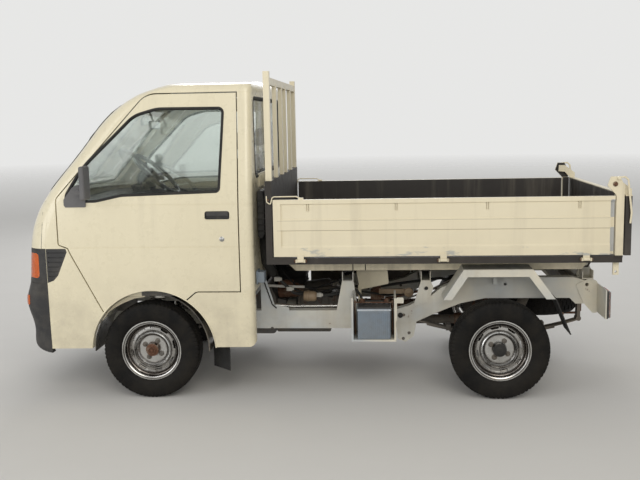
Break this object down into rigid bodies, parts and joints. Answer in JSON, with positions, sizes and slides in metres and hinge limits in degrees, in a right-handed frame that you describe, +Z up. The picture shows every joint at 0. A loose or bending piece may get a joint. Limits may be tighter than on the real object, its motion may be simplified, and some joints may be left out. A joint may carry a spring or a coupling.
{
  "type": "kei dump truck",
  "caption": "Small forward-control truck with a hydraulic tipping bed, drop sides, top-hung tailgate, a guard frame behind the cab and opening cab doors.",
  "frame": {"origin": "on the ground, under the middle of the truck's outline", "axes": "+X forward, +Y to the truck's left, +Z up"},
  "size_m": [3.303, 1.624, 1.769],
  "materials": {
    "body_paint": "glossy warm white paint, scuffed and dirty",
    "bed_paint": "black paint, scraped inside",
    "chassis_paint": "dull black with dirt and surface rust",
    "black_trim": "grained black plastic",
    "window_glass": "slightly green, clean",
    "lamp_clear": "clear lens",
    "lamp_amber": "amber lens",
    "lamp_red": "red lens",
    "wheel_steel": "silver paint",
    "tyre_rubber": "worn black rubber",
    "flap_rubber": "black rubber sheet",
    "seat_vinyl": "dark grey seat cover",
    "dash_plastic": "grained grey plastic",
    "engine_iron": "dull grey casting",
    "exhaust_steel": "rust-brown steel",
    "battery_case": "blue-grey ribbed plastic"
  },
  "bodies": {
    "chassis": {"cab_shell": "body_paint", "bumper": "black_trim", "lamp_band": "black_trim", "front_panel": "body_paint", "head_lamps": "lamp_clear", "corner_lamps": "lamp_amber", "side_vents": "black_trim", "cab_glass": "window_glass", "seats": "seat_vinyl", "dash": "dash_plastic", "suspension": "chassis_paint", "frame": "body_paint", "subframe": "body_paint", "rear_axle": "chassis_paint", "engine": "engine_iron", "exhaust": "exhaust_steel", "fuel_tank": "chassis_paint", "hydraulic_tank": "body_paint", "battery_box": "battery_case", "wheel_covers": "body_paint", "tail_lamps": "lamp_red", "mud_flaps": "flap_rubber"},
    "door_left": {"door_left": "body_paint", "door_glass_left": "window_glass", "door_mirror_left": "black_trim"},
    "door_right": {"door_right": "body_paint", "door_glass_right": "window_glass", "door_mirror_right": "black_trim"},
    "knuckle_left": {"knuckle_left": "chassis_paint"},
    "knuckle_right": {"knuckle_right": "chassis_paint"},
    "wheel_front_left": {"rim_front_left": "wheel_steel", "tyre_front_left": "tyre_rubber"},
    "wheel_front_right": {"rim_front_right": "wheel_steel", "tyre_front_right": "tyre_rubber"},
    "wheel_rear_left": {"rim_rear_left": "wheel_steel", "tyre_rear_left": "tyre_rubber"},
    "wheel_rear_right": {"rim_rear_right": "wheel_steel", "tyre_rear_right": "tyre_rubber"},
    "steering_wheel": {"steering_wheel": "black_trim"},
    "bed": {"bed_floor": "bed_paint", "bed_front_wall": "bed_paint", "guard_frame": "body_paint"},
    "gate_left": {"gate_left": "body_paint"},
    "gate_right": {"gate_right": "body_paint"},
    "tailgate": {"tailgate": "body_paint"},
    "lift_cylinder": {"lift_cylinder": "chassis_paint"},
    "lift_rod": {"lift_rod": "wheel_steel"}
  },
  "joints": [
    {"name": "steer_left", "type": "hinge", "parent": "chassis", "child": "knuckle_left", "pos_m": [0.9095, 0.56, 0.165], "axis": [0, -0.2195, 0.9756], "range_deg": [-35, 35]},
    {"name": "wheel_front_left_spin", "type": "hinge", "parent": "knuckle_left", "child": "wheel_front_left", "pos_m": [0.9095, 0.602, 0.268], "axis": [0, 1, 0], "continuous": true},
    {"name": "wheel_rear_left_spin", "type": "hinge", "parent": "chassis", "child": "wheel_rear_left", "pos_m": [-0.9905, 0.602, 0.268], "axis": [0, 1, 0], "continuous": true},
    {"name": "door_left_swing", "type": "hinge", "parent": "chassis", "child": "door_left", "pos_m": [1.3645, 0.685, 0.9], "axis": [0, 0, -1], "range_deg": [0, 65]},
    {"name": "gate_left_drop", "type": "hinge", "parent": "bed", "child": "gate_left", "pos_m": [-0.6865, 0.704, 0.77], "axis": [-1, 0, 0], "range_deg": [0, 170]},
    {"name": "steer_right", "type": "hinge", "parent": "chassis", "child": "knuckle_right", "pos_m": [0.9095, -0.56, 0.165], "axis": [0, 0.2195, 0.9756], "range_deg": [-35, 35]},
    {"name": "wheel_front_right_spin", "type": "hinge", "parent": "knuckle_right", "child": "wheel_front_right", "pos_m": [0.9095, -0.602, 0.268], "axis": [0, 1, 0], "continuous": true},
    {"name": "wheel_rear_right_spin", "type": "hinge", "parent": "chassis", "child": "wheel_rear_right", "pos_m": [-0.9905, -0.602, 0.268], "axis": [0, 1, 0], "continuous": true},
    {"name": "door_right_swing", "type": "hinge", "parent": "chassis", "child": "door_right", "pos_m": [1.3645, -0.685, 0.9], "axis": [0, 0, 1], "range_deg": [0, 65]},
    {"name": "gate_right_drop", "type": "hinge", "parent": "bed", "child": "gate_right", "pos_m": [-0.6865, -0.704, 0.77], "axis": [1, 0, 0], "range_deg": [0, 170]},
    {"name": "steering_wheel_turn", "type": "hinge", "parent": "chassis", "child": "steering_wheel", "pos_m": [1.0995, -0.33, 1.18], "axis": [-0.682, 0, 0.7314], "range_deg": [-525, 525]},
    {"name": "bed_tilt", "type": "hinge", "parent": "chassis", "child": "bed", "pos_m": [-1.4855, 0, 0.7], "axis": [0, -1, 0], "range_deg": [0, 45]},
    {"name": "tailgate_swing", "type": "hinge", "parent": "bed", "child": "tailgate", "pos_m": [-1.5585, 0, 1.158], "axis": [0, 1, 0], "range_deg": [0, 75]},
    {"name": "lift_cylinder_tilt", "type": "hinge", "parent": "chassis", "child": "lift_cylinder", "pos_m": [-1.3405, 0, 0.43], "axis": [0, -1, 0], "range_deg": [0, 32.84]},
    {"name": "lift_rod_slide", "type": "slide", "parent": "lift_cylinder", "child": "lift_rod", "axis": [0.7557, 0, 0.6549], "range_m": [0, 0.21393]}
  ],
  "couplings": [
    {"joint": "steer_right", "follows": "steer_left", "ratio": 1},
    {"joint": "steering_wheel_turn", "follows": "steer_left", "ratio": 15},
    {"joint": "lift_cylinder_tilt", "follows": "bed_tilt", "ratio": 0.72533},
    {"joint": "lift_rod_slide", "follows": "bed_tilt", "m_per_rad": 0.27111}
  ]
}
